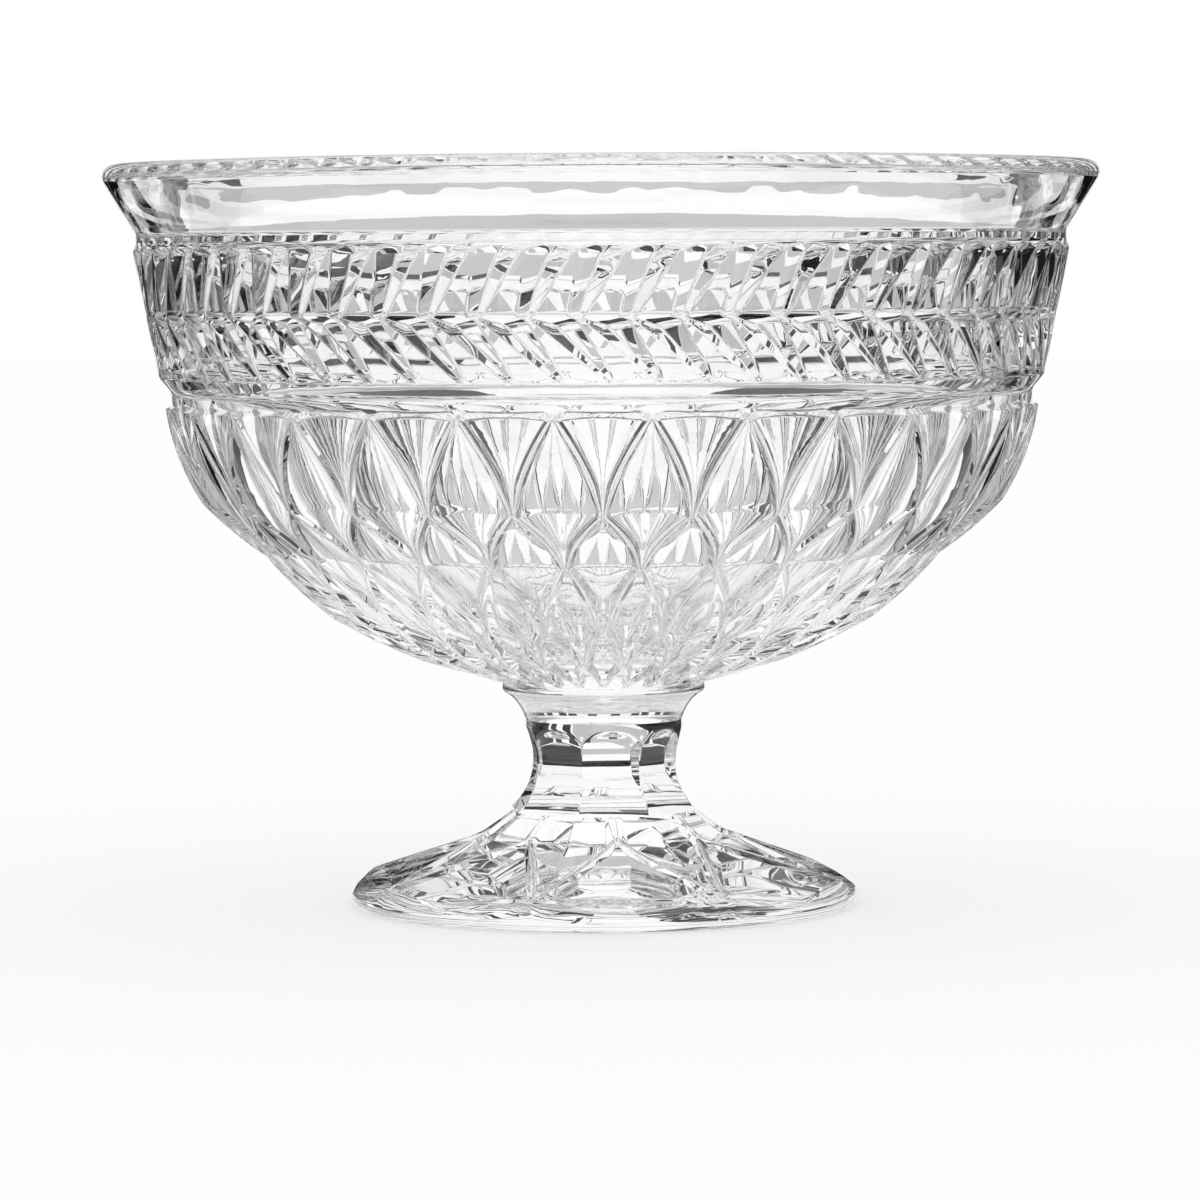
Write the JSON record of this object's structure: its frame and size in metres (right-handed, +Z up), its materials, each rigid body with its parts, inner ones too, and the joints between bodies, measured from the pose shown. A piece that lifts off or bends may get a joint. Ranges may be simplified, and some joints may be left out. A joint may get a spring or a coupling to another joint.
{
  "type": "honey dish",
  "caption": "Clear cut-crystal honey dish: a flared bowl with a herringbone band and diamond petals, on a joining wafer, a panelled stem and a round foot.",
  "frame": {"origin": "middle of the ring that the foot rests on, in the resting plane", "axes": "+Z up along the stem, -Y towards the picture's camera"},
  "size_m": [0.127, 0.127, 0.095],
  "materials": {
    "clear_crystal": "polished"
  },
  "bodies": {
    "root": {"bowl": "clear_crystal", "wafer": "clear_crystal", "stem": "clear_crystal", "foot": "clear_crystal"}
  },
  "joints": []
}
